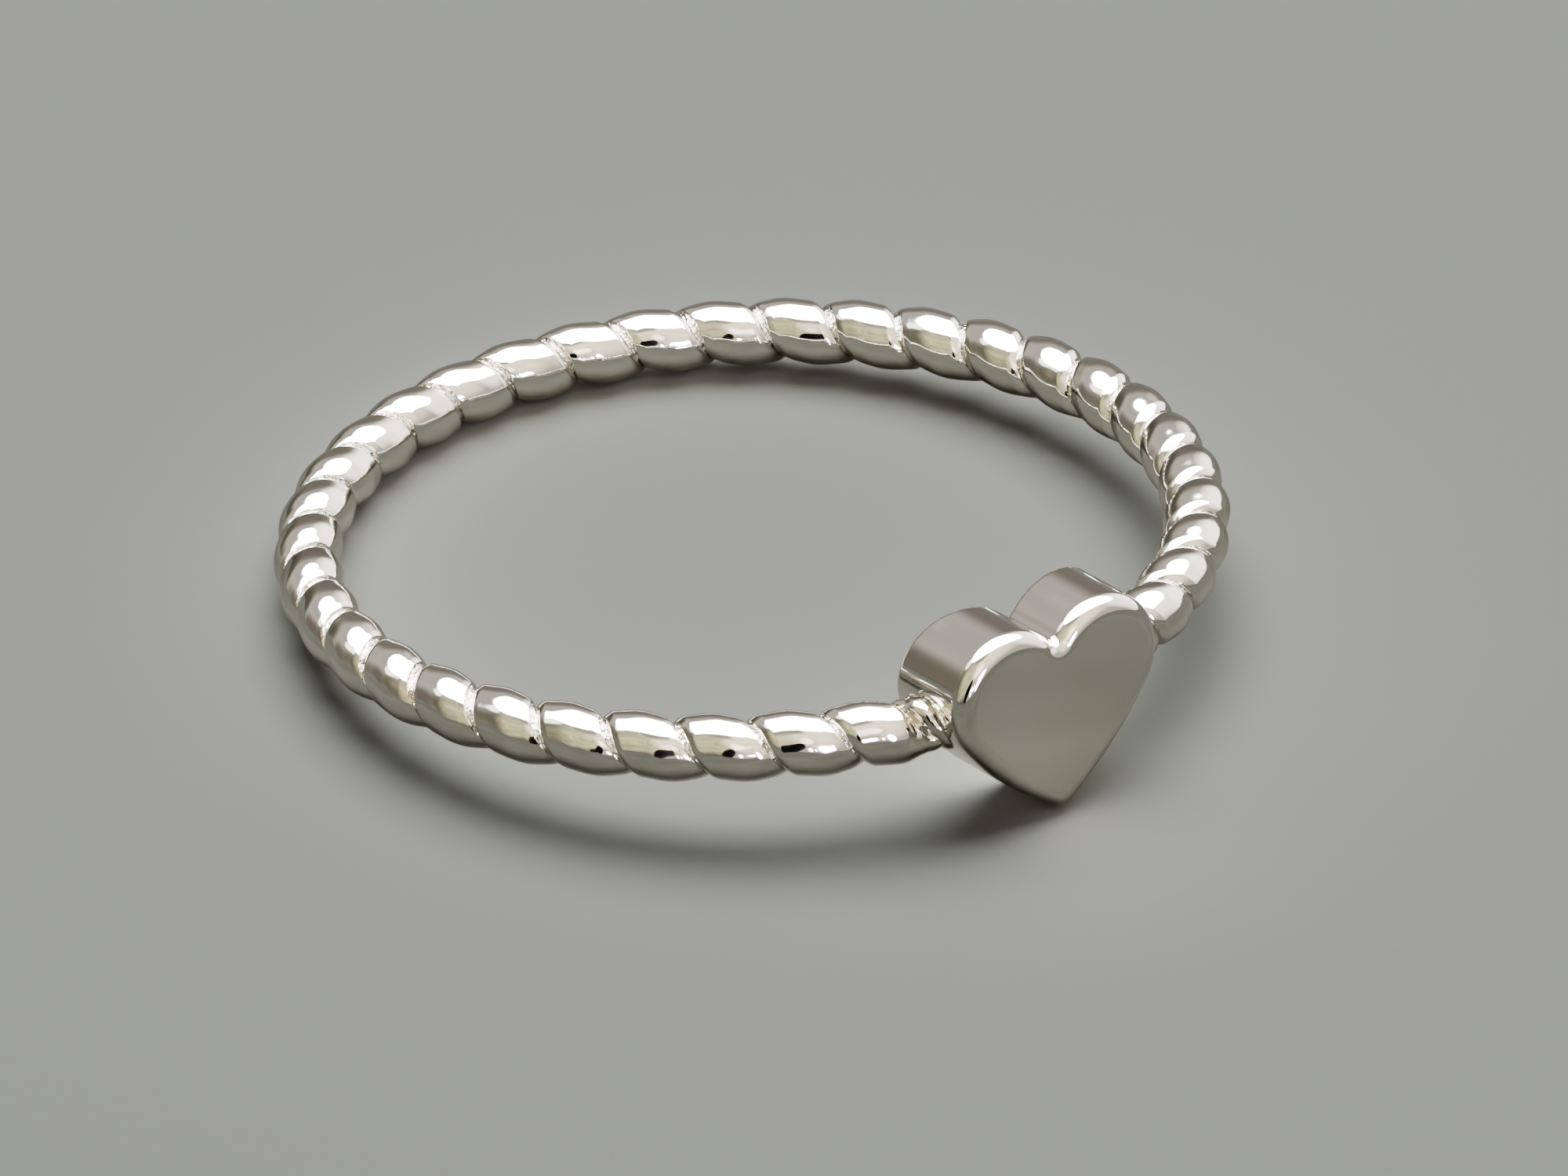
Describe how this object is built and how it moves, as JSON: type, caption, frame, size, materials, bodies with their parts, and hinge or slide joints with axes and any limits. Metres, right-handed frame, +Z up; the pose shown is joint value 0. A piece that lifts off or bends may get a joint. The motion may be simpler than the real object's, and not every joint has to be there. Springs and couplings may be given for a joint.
{
  "type": "heart ring",
  "caption": "Slim finger ring in polished silver: a band twisted like a corkscrew, closed at the front by a thick, smooth heart plate.",
  "frame": {"origin": "middle of the ring's outline, on the surface that it lies on", "axes": "+Z up from that surface, -Y towards the heart, +X to the right of somebody who looks at the heart's face"},
  "size_m": [0.0202, 0.0206, 0.0045],
  "materials": {
    "silver": "high polish, rhodium plated"
  },
  "bodies": {
    "root": {"heart_ring": "silver"}
  },
  "joints": []
}
